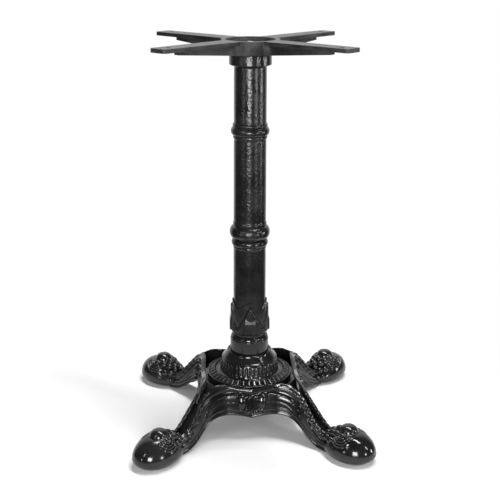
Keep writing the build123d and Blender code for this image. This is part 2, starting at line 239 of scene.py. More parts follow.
class CastSkin:
    """Shared skin of painted castings: orange peel, casting grain and slow unevenness."""

    def __init__(self) -> None:
        """Build the node group once."""
        self.tree = self.build()

    def build(self) -> bpy.types.ShaderNodeTree:
        """Mix three noises on object coordinates into a height, and one into a mask.

        Returns:
            The group: Height is peel, grain and waviness added up, Mask a slow blotch from 0 to 1.
        """
        inputs = {"Peel Scale": 300.0, "Peel": 0.5, "Grain Scale": 1500.0, "Grain": 0.2, "Wave": 0.3}
        tree = socket_group("cast_skin", inputs, ["Height", "Mask"])
        nodes, links = tree.nodes, tree.links
        given = next(n for n in nodes if n.bl_idname == "NodeGroupInput")
        wanted = next(n for n in nodes if n.bl_idname == "NodeGroupOutput")
        place = nodes.new("ShaderNodeTexCoord")

        def noise(scale_name: str | None, scale: float, detail: float) -> bpy.types.Node:
            """One noise texture on object coordinates, with its scale linked or set."""
            node = nodes.new("ShaderNodeTexNoise")
            node.inputs["Detail"].default_value = detail
            node.inputs["Scale"].default_value = scale
            links.new(place.outputs["Object"], node.inputs["Vector"])
            if scale_name:
                links.new(given.outputs[scale_name], node.inputs["Scale"])
            return node

        def math(operation: str, first: object, second: object) -> object:
            """Output of one math node on two sockets."""
            node = nodes.new("ShaderNodeMath")
            node.operation = operation
            links.new(first, node.inputs[0])
            links.new(second, node.inputs[1])
            return node.outputs[0]

        peel = math("MULTIPLY", noise("Peel Scale", 1.0, 1.0).outputs["Fac"], given.outputs["Peel"])
        grain = math("MULTIPLY", noise("Grain Scale", 1.0, 2.0).outputs["Fac"], given.outputs["Grain"])
        wave = math("MULTIPLY", noise(None, 45.0, 1.0).outputs["Fac"], given.outputs["Wave"])
        links.new(math("ADD", math("ADD", peel, grain), wave), wanted.inputs["Height"])
        blotch = nodes.new("ShaderNodeMapRange")
        blotch.inputs["From Min"].default_value = 0.35
        blotch.inputs["From Max"].default_value = 0.65
        links.new(noise(None, 28.0, 4.0).outputs["Fac"], blotch.inputs["Value"])
        links.new(blotch.outputs["Result"], wanted.inputs["Mask"])
        return tree


def skinned(
    name: str,
    skin: CastSkin,
    tones: tuple[tuple[float, float, float], tuple[float, float, float]],
    roughness: tuple[float, float],
    strength: float,
    distance: float,
) -> tuple[bpy.types.Material, bpy.types.Node, bpy.types.Node, bpy.types.Node]:
    """New material whose colour, roughness and bump follow the shared skin.

    Args:
        name: Name of the material.
        skin: The shared node group.
        tones: Colours at mask 0 and mask 1.
        roughness: Roughness at mask 0 and mask 1.
        strength: Strength of the bump.
        distance: Height of the bump in metres.

    Returns:
        The material, its shader, its skin group and its bump.
    """
    material = bpy.data.materials.new(name)
    material.use_nodes = True
    nodes, links = material.node_tree.nodes, material.node_tree.links
    shader = nodes["Principled BSDF"]
    group = nodes.new("ShaderNodeGroup")
    group.node_tree = skin.tree
    tone = nodes.new("ShaderNodeMix")
    tone.data_type = "RGBA"
    tone.inputs["A"].default_value = (*tones[0], 1.0)
    tone.inputs["B"].default_value = (*tones[1], 1.0)
    links.new(group.outputs["Mask"], tone.inputs["Factor"])
    links.new(tone.outputs["Result"], shader.inputs["Base Color"])
    rough = nodes.new("ShaderNodeMapRange")
    rough.inputs["To Min"].default_value = roughness[0]
    rough.inputs["To Max"].default_value = roughness[1]
    links.new(group.outputs["Mask"], rough.inputs["Value"])
    links.new(rough.outputs["Result"], shader.inputs["Roughness"])
    bump = nodes.new("ShaderNodeBump")
    bump.inputs["Strength"].default_value = strength
    bump.inputs["Distance"].default_value = distance
    links.new(group.outputs["Height"], bump.inputs["Height"])
    links.new(bump.outputs["Normal"], shader.inputs["Normal"])
    return material, shader, group, bump


@dataclass(frozen=True)
class Enamel:
    """Black paint on a casting: two tones, two roughnesses and the strength of its skin.

    Where calm gives a height in metres, the skin lies nearly smooth below it.
    """

    name: str
    dark: tuple[float, float, float]
    light: tuple[float, float, float]
    glossy: float
    dull: float
    specular: float
    peel_scale: float
    peel: float
    grain_scale: float
    grain: float
    wave: float
    bump: float
    calm: float | None = None

    def build(self, skin: CastSkin) -> bpy.types.Material:
        """Build the material from the shared skin.

        Args:
            skin: The shared node group.

        Returns:
            The material.
        """
        tones, roughness = (self.dark, self.light), (self.glossy, self.dull)
        material, shader, group, bump = skinned(self.name, skin, tones, roughness, self.bump, MM)
        shader.inputs["Specular IOR Level"].default_value = self.specular
        group.inputs["Peel Scale"].default_value = self.peel_scale
        group.inputs["Peel"].default_value = self.peel
        group.inputs["Grain Scale"].default_value = self.grain_scale
        group.inputs["Grain"].default_value = self.grain
        group.inputs["Wave"].default_value = self.wave
        if self.calm is not None:
            nodes, links = material.node_tree.nodes, material.node_tree.links
            place = nodes.new("ShaderNodeTexCoord")
            parts = nodes.new("ShaderNodeSeparateXYZ")
            links.new(place.outputs["Object"], parts.inputs["Vector"])
            rise = nodes.new("ShaderNodeMapRange")
            rise.inputs["From Min"].default_value = self.calm
            rise.inputs["From Max"].default_value = self.calm + 0.05
            rise.inputs["To Min"].default_value = 0.1 * self.bump
            rise.inputs["To Max"].default_value = self.bump
            links.new(parts.outputs["Z"], rise.inputs["Value"])
            links.new(rise.outputs["Result"], bump.inputs["Strength"])
        return material


@dataclass(frozen=True)
class ZincSteel:
    """Zinc plated steel of the rod, nuts and washers, with a fine noise bump."""

    name: str = "zinc_plated_steel"
    pale: tuple[float, float, float] = (0.42, 0.42, 0.41)
    dull: tuple[float, float, float] = (0.28, 0.28, 0.29)
    roughness: tuple[float, float] = (0.55, 0.7)

    def build(self, skin: CastSkin) -> bpy.types.Material:
        """Build the metal with blotches of dulled plating.

        Args:
            skin: The shared node group.

        Returns:
            The material.
        """
        tones = (self.pale, self.dull)
        material, shader, _, _ = skinned(self.name, skin, tones, self.roughness, 0.2, 0.2 * MM)
        shader.inputs["Metallic"].default_value = 1.0
        return material


def paint(piece: bpy.types.Object, material: bpy.types.Material) -> None:
    """Give a piece its one material.

    Args:
        piece: The piece.
        material: Its finish.
    """
    piece.data.materials.clear()
    piece.data.materials.append(material)


@dataclass
class BaseCasting:
    """The low casting: hub, four legs with their aprons and four paws."""

    draft: float = 0.2126
    apron_distance: float = 109.0
    apron_half_length: float = 43.5
    bend_radius: float = 70.8
    bend_angle: float = 38.0
    ankle_run: float = 66.0
    wall: float = 5.5
    ridge_reach: tuple[float, ...] = (
        62.6, 75.0, 88.0, 102.0, 114.0, 124.0, 132.0, 144.0, 163.0, 176.0, 186.0
    )
    ridge_height: tuple[float, ...] = (
        96.0, 99.0, 103.0, 104.8, 102.6, 97.0, 91.0, 79.5, 57.5, 43.5, 37.0
    )
    scallop_start: float = 128.0
    scallop_pitch: float = 9.8
    scallop_rise: float = 2.1
    bead_reach: tuple[float, ...] = (62.0, 75.0, 88.0, 99.0, 113.0, 170.0, 200.0)
    bead_depth: tuple[float, ...] = (2.2, 2.2, 2.8, 6.8, 9.4, 8.4, 6.0)
    edge_reach: tuple[float, ...] = (
        70.0, 80.0, 94.0, 110.0, 122.0, 134.0, 146.0, 158.0, 170.0, 182.0, 196.0, 214.0
    )
    edge_height: tuple[float, ...] = (
        43.5, 47.0, 49.5, 48.5, 44.5, 37.5, 28.0, 18.0, 10.5, 5.0, 2.0, 2.0
    )
    ridge_share: tuple[float, ...] = (0.02, 0.05, 0.2, 0.35, 0.5, 0.62, 0.76, 0.9, 0.98)
    ridge_swell: tuple[float, ...] = (0.12, 0.22, 0.42, 0.62, 0.82, 0.97, 1.0, 0.75, 0.35)
    lip: float = 2.6
    leaf_reach: tuple[float, ...] = (80.0, 89.6, 99.7, 114.7, 124.4, 130.8, 138.0)
    leaf_top: tuple[float, ...] = (90.5, 90.5, 88.0, 82.0, 74.0, 65.0, 54.0)
    leaf_foot: tuple[float, ...] = (71.5, 72.0, 72.0, 66.0, 59.0, 55.0, 52.5)
    web_reach: tuple[float, ...] = (40.0, 80.0, 130.0, 206.0)
    web_height: tuple[float, ...] = (88.0, 88.0, 69.0, 12.0)
    gadroons: int = 40
    hub_turns: int = 640
    paw_reach: float = 244.0
    curl_place: tuple[float, float, float] = (239.0, 19.0, 46.0)
    pieces: list[bpy.types.Object] = field(default_factory=list)
    hub: list[bpy.types.Object] = field(default_factory=list)

    def flank_path(self, count: int) -> tuple[np.ndarray, np.ndarray]:
        """Plan of a wall at floor level, from ankle to ankle round an apron that faces +Y.

        The right half runs straight, turns on an arc and runs straight down the leg; the left half
        mirrors it.

        Args:
            count: Samples in the whole path.

        Returns:
            Points and outward normals, each of shape (count, 2).
        """
        arc = self.bend_radius * radians(self.bend_angle)
        total = self.apron_half_length + arc + self.ankle_run
        s = np.linspace(-total, total, count)
        side = np.where(s < 0.0, -1.0, 1.0)
        run = np.abs(s)
        turn = np.clip((run - self.apron_half_length) / self.bend_radius, 0.0, radians(self.bend_angle))
        tail = np.clip(run - self.apron_half_length - arc, 0.0, None)
        x = np.minimum(run, self.apron_half_length) + self.bend_radius * np.sin(turn) + tail * np.cos(turn)
        y = self.apron_distance + self.bend_radius * (1.0 - np.cos(turn)) + tail * np.sin(turn)
        points = np.stack([side * x, y], axis=-1)
        normals = np.stack([-side * np.sin(turn), np.cos(turn)], axis=-1)
        return points, normals

    def leg_reach(self, points: np.ndarray, normals: np.ndarray, height: np.ndarray) -> np.ndarray:
        """Distance along the nearer leg of points of the drafted face at a height.

        Args:
            points: Plan points at floor level.
            normals: Their outward normals.
            height: Heights above the floor.

        Returns:
            Reach from the column's axis along the leg.
        """
        x = points[..., 0] - normals[..., 0] * self.draft * height
        y = points[..., 1] - normals[..., 1] * self.draft * height
        return (np.abs(x) + y) * DIAGONAL

    def ridge(self, reach: np.ndarray) -> np.ndarray:
        """Height of the ridge at a reach: a smooth hump with leafy steps down the leg."""
        knots, heights = np.array(self.ridge_reach), np.array(self.ridge_height)
        slopes = np.gradient(heights, knots)
        slopes[-1] = -0.25
        line = hermite(reach, knots, heights, slopes)
        phase = ((reach - self.scallop_start) / self.scallop_pitch) % 1.0
        leaf = np.where(phase < 0.7, np.sin(phase / 0.7 * pi / 2), np.cos((phase - 0.7) / 0.3 * pi / 2))
        start = self.scallop_start
        where = smoothstep(reach, start - 4.0, start + 4.0) * (1.0 - smoothstep(reach, 182.0, 190.0))
        return line + self.scallop_rise * leaf * where

    def leaf_relief(self, along: np.ndarray, reach: np.ndarray, height: np.ndarray) -> np.ndarray:
        """Horn-shaped leaf beside the middle ornament: a low vault with a raised upper rim.

        Args:
            along: Signed distance from the middle of the apron.
            reach: Reach along the nearer leg.
            height: Height above the floor.

        Returns:
            Proud distance in millimetres.
        """
        knots = np.array(self.leaf_reach)
        top, foot = np.array(self.leaf_top), np.array(self.leaf_foot)
        upper = hermite(reach, knots, top, np.gradient(top, knots))
        lower = hermite(reach, knots, foot, np.gradient(foot, knots))
        width = np.maximum(upper - lower, 0.4)
        share = np.clip((height - lower) / width, 0.0, 1.0)
        inside = smoothstep(height - lower, -0.5, 0.5) * smoothstep(upper - height, -0.5, 0.5)
        inside = inside * (1.0 - smoothstep(reach, 136.5, 139.0)) * smoothstep(np.abs(along), 26.5, 28.5)
        rim = 1.7 * dome((1.0 - share) * width, 1.4, 1.4) + 0.9 * dome(share * width, 1.2, 1.2)
        return inside * (2.0 + 1.7 * dome(share, 0.45, 0.55) + rim)

    def relief(
        self, along: np.ndarray, reach: np.ndarray, height: np.ndarray, top: np.ndarray
    ) -> np.ndarray:
        """How far the ornament stands proud of the drafted face.

        A bead below the ridge with leafy flutes over it and a hollow under it, a horn-shaped leaf, a thin
        moulding along the lower edge, and in the middle of the apron two volutes between two eggs.

        Args:
            along: Signed distance from the middle of the apron.
            reach: Reach along the nearer leg.
            height: Height above the floor.
            top: Height of the ridge.

        Returns:
            Proud distance in millimetres.
        """
        depth = top - height
        line = np.interp(reach, self.bead_reach, self.bead_depth)
        bead = 3.4 * dome(depth, line, 2.9)
        hollow = -1.6 * dome(depth, line + 6.8, 4.2)
        phase = ((reach - self.scallop_start) / self.scallop_pitch) % 1.0
        flutes = 0.9 * np.sin(pi * phase) * smoothstep(line - 2.0 - depth, 0.0, 1.5)
        flutes = flutes * smoothstep(reach, 122.0, 130.0)
        x = np.abs(along)
        egg = np.clip(1.0 - ((x - 18.6) / 8.8) ** 2 - ((height - 75.0) / 15.0) ** 2, 0.0, 1.0)
        moat = np.clip(1.0 - ((x - 18.6) / 10.6) ** 2 - ((height - 75.0) / 17.0) ** 2, 0.0, 1.0)
        middle = np.where(egg > 0.0, 5.8 * np.sqrt(egg), -0.9 * smoothstep(moat, 0.0, 0.18))
        stem = smoothstep(height, 51.0, 54.0) * (1.0 - smoothstep(height, 81.0, 85.0))
        volute = 3.4 * dome(x, 4.9, 3.1) * stem
        curl = 3.0 * np.sqrt(np.clip(1.0 - ((x - 7.6) ** 2 + (height - 55.0) ** 2) / 20.0, 0.0, 1.0))
        groove = -1.4 * dome(along, 0.0, 1.6) * stem
        ornament = np.maximum(middle + volute, curl) + groove
        return bead + hollow + flutes + ornament + self.leaf_relief(along, reach, height)

    def build_wall(self, name: str, facing: float) -> bpy.types.Object:
        """One wall from ankle to ankle: a rounded section with relief carried along the plan.

        Point = plan - normal * draft * height + normal * proud, where proud runs over the outer face,
        over the ridge with a sloping front, down the inner face and round the lower edge.

        Args:
            name: Name of the piece.
            facing: Direction that the apron faces, in degrees.

        Returns:
            The piece.
        """
        points, normals = self.flank_path(300)
        along = points[:, 0]
        top = np.full(len(points), 90.0)
        foot = np.full(len(points), 40.0)
        knots, heights = np.array(self.edge_reach), np.array(self.edge_height)
        slopes = np.gradient(heights, knots)
        for _ in range(25):
            top = self.ridge(self.leg_reach(points, normals, top))
            foot = hermite(self.leg_reach(points, normals, foot), knots, heights, slopes)
        foot = np.clip(foot, 1.0, top - 14.0)
        crown = np.interp(self.leg_reach(points, normals, top), [88.0, 113.0], [3.8, 2.8])[:, None]
        face = np.linspace(0.0, 1.0, 66)[None, :]
        low, high = foot[:, None] + self.lip, top[:, None] - crown
        outer_z = low + (high - low) * face
        reach = self.leg_reach(points[:, None, :], normals[:, None, :], outer_z)
        outer_d = self.relief(along[:, None], reach, outer_z, top[:, None])
        over_foot = outer_z - foot[:, None]
        outer_d = outer_d + 1.0 * dome(over_foot, 2.0, 4.0) + 0.9 * dome(over_foot, 11.0, 1.5)
        bend = np.linspace(0.0, pi, 11)[None, 1:-1]
        ridge_d = outer_d[:, -1:] - (outer_d[:, -1:] + self.wall) * np.array([self.ridge_share])
        ridge_z = high + crown * np.array([self.ridge_swell])
        inner_z = high + (low - high) * np.linspace(0.0, 1.0, 16)[None, :]
        inner_d = np.full_like(inner_z, -self.wall)
        lower_mid, lower_half = (outer_d[:, :1] - self.wall) / 2, (outer_d[:, :1] + self.wall) / 2
        lip_d, lip_z = lower_mid - lower_half * np.cos(bend), low - self.lip * np.sin(bend)
        proud = np.concatenate([outer_d, ridge_d, inner_d, lip_d], axis=1)
        height = np.concatenate([outer_z, ridge_z, inner_z, lip_z], axis=1)
        shift = proud - self.draft * height
        plan = points[:, None, :] + normals[:, None, :] * shift[..., None]
        grid = np.concatenate([plan, height[..., None]], axis=-1)
        return make_piece(name, swung(grid, facing - 90.0))

    def build_channel(self, name: str, angle: float) -> bpy.types.Object:
        """Floor of the channel between two walls of a leg, a slightly dished plate.

        Half width comes from the plan of the walls at the height of the floor, and the top sags by a
        parabola across it.

        Args:
            name: Name of the piece.
            angle: Direction of the leg, in degrees.

        Returns:
            The piece.
        """
        points, normals = self.flank_path(600)
        points, normals = points[300:], normals[300:]
        floor_z = np.full(len(points), 60.0)
        for _ in range(25):
            floor_z = np.interp(self.leg_reach(points, normals, floor_z), self.web_reach, self.web_height)
        shift = -self.draft * floor_z - self.wall / 2
        edge = points + normals * shift[:, None]
        edge_reach = (edge[:, 0] + edge[:, 1]) * DIAGONAL
        edge_width = (edge[:, 1] - edge[:, 0]) * DIAGONAL
        reach = np.linspace(58.0, 212.0, 90)[:, None]
        half = np.minimum(np.interp(reach, edge_reach, edge_width), reach * 0.98)
        height = np.interp(reach, self.web_reach, self.web_height)
        across = np.concatenate([np.linspace(-1.0, 1.0, 13), np.linspace(1.0, -1.0, 13)])[None, :]
        upper = (np.arange(26) < 13)[None, :]
        sag = -2.5 * (1.0 - across**2)
        grid_z = np.where(upper, height + sag, height - 6.0)
        grid = np.stack([reach * np.ones_like(across), half * across, grid_z], axis=-1)
        return make_piece(name, swung(grid, angle))

    def hub_profile(self) -> np.ndarray:
        """Closed outline of the hub: ring, band, drum, bead, cone, socket and the hollow inside."""
        half_turn = np.linspace(0.0, pi, 9)
        rim = np.column_stack([78.5 + 1.5 * np.cos(half_turn), 96.5 + 1.6 * np.sin(half_turn)])
        lip = np.column_stack([40.4 + 1.9 * np.cos(half_turn), 139.4 + 1.9 * np.sin(half_turn)])
        return np.concatenate(
            [
                np.column_stack([np.full(8, 80.0), np.linspace(84.0, 96.0, 8)]),
                rim,
                np.column_stack([np.linspace(76.4, 57.0, 56), np.linspace(96.0, 101.5, 56)]),
                np.column_stack([np.linspace(56.2, 50.8, 34), np.linspace(102.0, 124.6, 34)]),
                np.column_stack([50.2 + 1.8 * np.sin(half_turn), np.linspace(125.0, 128.4, 9)]),
                np.column_stack([np.linspace(49.4, 42.6, 10), np.linspace(128.8, 138.0, 10)]),
                lip,
                np.array([[37.6, 139.2], [36.6, 139.0], [7.0, 139.0], [7.0, 125.0], [38.0, 125.0]]),
                np.array([[47.0, 87.0], [73.0, 87.0], [73.0, 82.0], [78.0, 82.0]]),
            ]
        )

    def build_hub(self) -> bpy.types.Object:
        """Hub as a lathe whose radius and height ripple with the angle.

        Eggs lift the outer band, rounded across by a root of a cubic and sloping down outwards, a plain
        bead rings them inside, and the drum swells by the squared sine of each flute.

        Returns:
            The piece.
        """
        profile = self.hub_profile()
        grid = lathe(profile, self.hub_turns)
        angle = np.linspace(0.0, 2.0 * pi, self.hub_turns, endpoint=False)[None, :]
        radius, height = profile[:, :1], profile[:, 1:]
        top = (height > 95.5) & (height < 126.0)
        phase = (angle * self.gadroons / (2.0 * pi)) % 1.0
        across = np.sqrt(np.clip(1.0 - np.abs(2.0 * phase - 1.0) ** 3 / 0.8, 0.0, 1.0))
        egg = across * smoothstep(5.8 - np.abs(radius - 70.6), 0.0, 1.6)
        lift = ((3.2 + 0.26 * (70.6 - radius)) * egg + 1.8 * dome(radius, 62.6, 2.0)) * top
        in_drum = smoothstep(height, 103.0, 107.0) * (1.0 - smoothstep(height, 119.5, 123.5)) * top
        flute = 1.2 * (np.sin(pi * phase) ** 2 - 0.5) * in_drum * (radius < 56.5)
        grid[..., 2] += lift
        grid[..., 0] += flute * np.cos(angle)
        grid[..., 1] += flute * np.sin(angle)
        return make_piece("base_hub_bell", grid, wrap_rows=True)

    def build_paw(self, name: str, angle: float) -> bpy.types.Object:
        """One paw: ellipses that shrink from the belly up to the round knob on its top.

        Each row is an oval with its own length towards toe and heel, half width, place along the leg and
        height, read from smooth curves. On each flank thin ridges ring a curl, by the sine of the
        distance from its middle.

        Args:
            name: Name of the piece.
            angle: Direction of the leg, in degrees.

        Returns:
            The piece.
        """
        rows = np.array(
            [
                [0.0, 0.0, 0.0, 0.0, 0.0],
                [30.0, 38.0, 22.0, 0.0, 0.0],
                [36.5, 46.0, 29.0, 0.0, 1.8],
                [43.5, 52.5, 34.5, 0.0, 7.0],
                [48.2, 55.0, 38.0, 0.0, 13.0],
                [48.4, 54.0, 38.2, 0.0, 19.0],
                [46.6, 47.0, 36.4, -0.2, 27.0],
                [42.6, 36.0, 33.0, -0.8, 35.0],
                [37.0, 28.0, 29.0, -1.8, 41.5],
                [30.5, 22.0, 25.0, -3.2, 46.2],
                [25.0, 18.5, 21.5, -4.6, 48.8],
                [21.0, 18.6, 19.6, -5.6, 49.9],
                [18.4, 17.8, 18.0, -6.0, 50.3],
                [16.8, 16.8, 16.8, -6.0, 51.6],
                [15.6, 15.6, 15.6, -6.0, 54.8],
                [12.8, 12.8, 12.8, -6.0, 58.6],
                [8.4, 8.4, 8.4, -6.0, 61.1],
                [3.8, 3.8, 3.8, -6.0, 61.9],
                [0.0, 0.0, 0.0, -6.0, 62.0],
            ]
        )
        stops = np.arange(len(rows), dtype=float)
        fine = np.linspace(0.0, stops[-1], 170)
        toe, heel, side, c, z = (hermite(fine, stops, v, np.gradient(v))[:, None] for v in rows.T)
        turn = np.linspace(0.0, 2.0 * pi, 240, endpoint=False)[None, :]
        length = np.maximum(np.where(np.cos(turn) > 0.0, toe, heel), 0.0)
        u = self.paw_reach + c + length * np.cos(turn)
        w = np.maximum(side, 0.0) * np.sin(turn)
        height = np.maximum(z, 0.0) * np.ones_like(turn)
        curl_u, curl_w, curl_z = self.curl_place
        from_curl = np.sqrt((u - curl_u) ** 2 + (np.abs(w) - curl_w) ** 2 + (height - curl_z) ** 2)
        wave = np.abs(np.sin(pi * (from_curl - 5.0) / 4.4)) ** 0.7 - 0.6
        outer = smoothstep(np.abs(w) - 0.4 * (height - 45.0), 15.0, 19.0)
        ring = smoothstep(from_curl, 5.0, 7.0) * (1.0 - smoothstep(from_curl, 19.5, 22.5)) * outer
        rise = 3.2 * wave * ring
        grid = np.stack([u, w + 0.7 * rise * np.sign(w), height + 0.7 * rise], axis=-1)
        return make_piece(name, swung(grid, angle))

    def build_curls(self) -> bpy.types.Object:
        """Locks of the wrist: ellipsoids by longitude and latitude, packed between knob and leg."""
        single = [[220.0, 0.0, 47.0, 8.4], [206.5, 0.0, 40.5, 7.4]]
        paired = [
            [224.0, 14.0, 44.0, 8.0],
            [212.0, 10.5, 41.0, 7.6],
            [198.5, 7.0, 36.5, 5.4],
            [203.0, 15.5, 31.0, 7.0],
            [214.0, 21.0, 31.0, 7.4],
            [206.0, 21.0, 17.5, 6.4],
            [238.0, 18.0, 45.0, 7.0],
        ]
        locks = np.array(single + paired + [[u, -w, z, r] for u, w, z, r in paired])
        lat = np.linspace(-pi / 2, pi / 2, 15)[None, :, None]
        lon = np.linspace(0.0, 2.0 * pi, 24, endpoint=False)[None, None, :]
        u, w, z, r = (locks[:, i, None, None] for i in range(4))
        x = u + 1.15 * r * np.cos(lat) * np.cos(lon)
        y = w + 0.95 * r * np.cos(lat) * np.sin(lon)
        height = z + 0.95 * r * np.sin(lat) * np.ones_like(lon)
        row = np.stack([x, y, height], axis=-1)
        shells = np.concatenate([swung(row, angle) for angle in LEG_ANGLES])
        return make_piece("base_wrist_curls", shells)

    def build(self) -> None:
        """Build every piece that stands for the casting."""
        for side, facing in (("front", -90.0), ("right", 0.0), ("back", 90.0), ("left", 180.0)):
            self.pieces.append(self.build_wall(f"base_apron_{side}", facing))
        for i, angle in enumerate(LEG_ANGLES):
            self.pieces.append(self.build_channel(f"base_channel_{i}", angle))
            self.pieces.append(self.build_paw(f"base_paw_{i}", angle))
        self.pieces.append(self.build_curls())
        self.hub.append(self.build_hub())

    def dress(self, material: bpy.types.Material) -> None:
        """Paint the casting and hide its solid."""
        for pieces, node in ((self.pieces, "base_casting"), (self.hub, "base_hub")):
            for piece in pieces:
                paint(piece, material)
                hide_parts(node)


@dataclass
class NeckCollar:
    """The loose ring between hub and column."""

    radius: float = 36.0
    foot: float = 139.0
    head: float = 174.0
    bore: float = 7.0
    pieces: list[bpy.types.Object] = field(default_factory=list)

    def build(self) -> None:
        """Lathe of a sleeve with a fine step and a rounded shoulder, and the boss on its top."""
        bend = np.linspace(0.0, pi / 2, 14)
        shoulder = np.column_stack([30.0 + 5.2 * np.cos(bend), 166.6 + 7.2 * np.sin(bend)])
        profile = np.concatenate(
            [
                np.column_stack([np.full(10, self.radius), np.linspace(self.foot, 164.4, 10)]),
                np.column_stack([35.0 + np.cos(bend), 164.6 + 1.4 * np.sin(bend)]),
                shoulder,
                np.array([[21.6, self.head], [21.2, self.head + 0.2], [21.2, 179.0]]),
                np.array([[self.bore, 179.0], [self.bore, self.foot]]),
            ]
        )
        self.pieces.append(make_piece("neck_sleeve", lathe(profile, 128), wrap_rows=True))

    def dress(self, material: bpy.types.Material) -> None:
        """Paint the collar and hide its solid."""
        for piece in self.pieces:
            paint(piece, material)
            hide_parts("neck_collar")


@dataclass
class Column:
    """The turned column with rings, head and a foot of four shields."""

    foot: float = 174.0
    head: float = 695.0
    bore: float = 22.0
    foot_radius: float = 30.2
    head_radius: float = 28.7
    shield_foot: float = 184.0
    turns: int = 312
    key_half: float = 8.5
    key_height: float = 28.0
    pieces: list[bpy.types.Object] = field(default_factory=list)

    def shaft(self, z: np.ndarray) -> np.ndarray:
        """Radius of the plain shaft with its rings at a height: half ellipses proud of a slight taper."""
        share = (z - self.foot) / (self.head - self.foot)
        radius = self.foot_radius + (self.head_radius - self.foot_radius) * share
        rings = 7.2 * dome(z, 374.0, 11.5) + 3.8 * dome(z, 354.5, 6.0) + 1.2 * dome(z, 390.0, 3.4)
        rings = rings + 5.5 * dome(z, 560.0, 7.4) + 2.2 * dome(z, 570.5, 4.0) + 1.6 * dome(z, 549.5, 3.2)
        rings = rings - 0.7 * dome(z, 545.0, 1.2) + 1.0 * dome(z, 346.0, 2.4)
        skirt = 8.6 * smoothstep(z, 672.5, 677.5)
        return radius + rings + skirt - 0.8 * dome(z, 695.5, 1.6)

    def shields(self, z: np.ndarray, angle: np.ndarray) -> np.ndarray:
        """Radius of the relief round the foot: pointed arches, gables over them and a key block on each.

        Each layer is a mask of the distance inside its outline, ramped over half a millimetre.

        Args:
            z: Heights, as a column.
            angle: Angles round the axis, as a row.

        Returns:
            Radius where a layer covers the shaft, else 0.
        """
        near = (angle + pi / 4) % (pi / 2) - pi / 4
        x = np.abs(31.5 * np.sin(near))
        h = z - self.shield_foot
        arch_half = np.interp(h, [-7.0, 40.0, 46.0, 53.0, 60.0], [40.0, 40.0, 20.4, 13.0, 0.0])
        gable_half = np.interp(h, [-7.0, 5.0, 53.0], [40.0, 23.6, 0.0])
        arch = 32.4 * smoothstep(arch_half - x, -0.35, 0.35) * (h > -7.0) * (h < 60.0)
        slope = np.interp(h, [-6.5, 0.0, 53.0], [32.2, 36.6, 35.2])
        edge = smoothstep(gable_half - x, -0.2, 2.4) * (h > -6.5) * (h < 53.0)
        gable = (31.4 + (slope - 31.4) * edge) * (edge > 0.0)
        block = np.interp(h, [-1.0, 0.0, 19.0, self.key_height], [36.0, 37.4, 37.3, 35.0])
        key = block / np.cos(near) * smoothstep(self.key_half - x, -0.3, 0.3)
        key = key * (h > 0.0) * (h < self.key_height)
        crease = -1.6 * dome(gable_half - x, -0.6, 1.6) * (h > 5.0) * (h < 54.0)
        return np.maximum(np.maximum(arch + crease, gable), key)

    def build(self) -> None:
        """Lathe with the shields raised over it, closed through the bore."""
        z = spread(
            [174.0, 176.0, 178.0, 252.0, 340.0, 398.0, 540.0, 580.0, 668.0, 680.0, 695.0],
            [4, 8, 118, 12, 58, 10, 52, 8, 22, 12],
        )[:, None]
        angle = np.linspace(0.0, 2.0 * pi, self.turns, endpoint=False)[None, :]
        radius = np.maximum(self.shaft(z) * np.ones_like(angle), self.shields(z, angle))
        inner = np.full((2, self.turns), self.bore)
        radius = np.concatenate([radius, inner])
        height = np.concatenate([z, [[self.head], [self.foot]]]) * np.ones_like(angle)
        around = angle - pi / 2
        grid = np.stack([radius * np.cos(around), radius * np.sin(around), height], axis=-1)
        self.pieces.append(make_piece("column_shaft", grid, wrap_rows=True, sharp=48.0))

    def dress(self, material: bpy.types.Material) -> None:
        """Paint the column and hide its solid."""
        for piece in self.pieces:
            paint(piece, material)
            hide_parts("column")


@dataclass
class Spider:
    """The top casting, taken from its solid with its edges rounded as cast edges are."""

    edge: float = 1.1
    pieces: list[bpy.types.Object] = field(default_factory=list)

    def build(self) -> None:
        """Copy the solid's mesh, merge it and round its edges with a bevel."""
        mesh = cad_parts["spider"].data.copy()
        shape = bmesh.new()
        shape.from_mesh(mesh)
        bmesh.ops.remove_doubles(shape, verts=shape.verts, dist=1e-5)
        bmesh.ops.dissolve_limit(
            shape, angle_limit=radians(1.0), verts=shape.verts, edges=shape.edges, delimit={"SHARP"}
        )
        shape.to_mesh(mesh)
        shape.free()
        piece = link_piece("spider_plate", mesh, 40.0)
        bevel = piece.modifiers.new("cast_edges", "BEVEL")
        bevel.width = self.edge * MM
        bevel.segments = 2
        bevel.limit_method = "ANGLE"
        bevel.angle_limit = radians(35.0)
        bevel.harden_normals = True
        self.pieces.append(piece)

    def dress(self, material: bpy.types.Material) -> None:
        """Paint the spider and hide its solid."""
        for piece in self.pieces:
            paint(piece, material)
            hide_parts("spider")


@dataclass
class TieRod:
    """The rod, nuts and washers, which keep their solids."""

    nodes: tuple[str, ...] = ("tie_rod", "upper_nut", "upper_washer", "lower_nut", "lower_washer")

    def dress(self, material: bpy.types.Material) -> None:
        """Give the carried-over solids their plating."""
        for name in self.nodes:
            paint(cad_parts[name], material)


